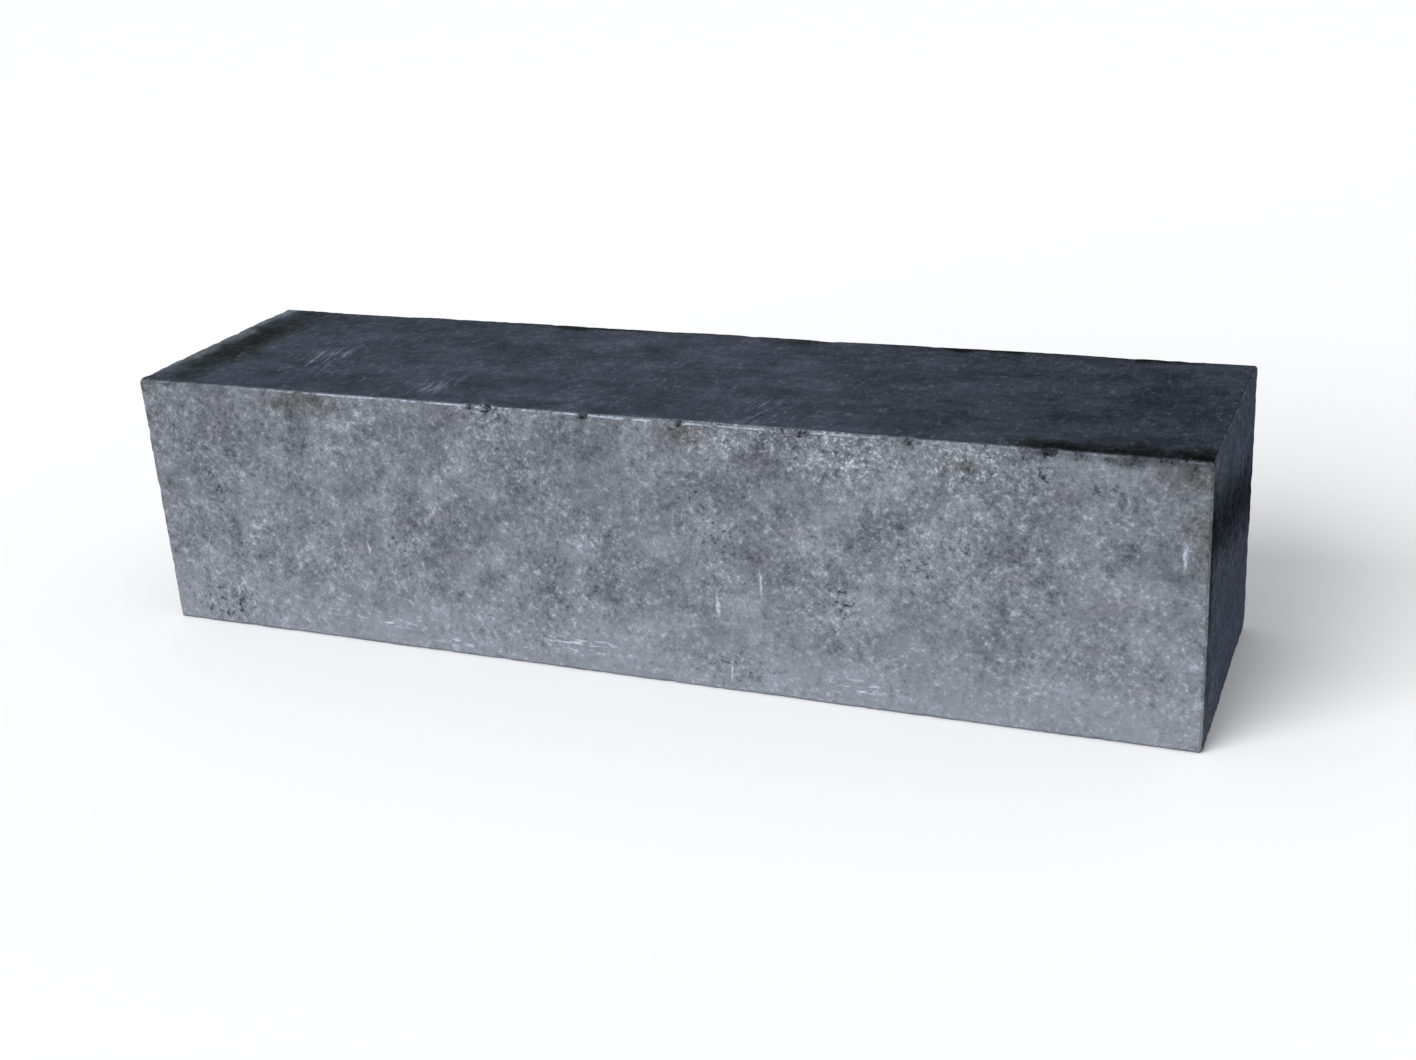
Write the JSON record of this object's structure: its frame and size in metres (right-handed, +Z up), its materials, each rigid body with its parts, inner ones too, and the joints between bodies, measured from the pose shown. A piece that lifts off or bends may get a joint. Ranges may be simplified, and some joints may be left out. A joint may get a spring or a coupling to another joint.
{
  "type": "compressed charcoal stick",
  "caption": "Solid square bar of compressed charcoal with flat faces and lightly chipped edges, held in the fingers or a holder for broad shading and drawing.",
  "frame": {"origin": "middle of the face that the stick lies on", "axes": "+X along the stick towards its right end, -Y the front face, +Z up"},
  "size_m": [0.08, 0.02, 0.02],
  "materials": {
    "charcoal": "matte, open-grained, dusty"
  },
  "bodies": {
    "root": {"charcoal_stick": "charcoal"}
  },
  "joints": []
}
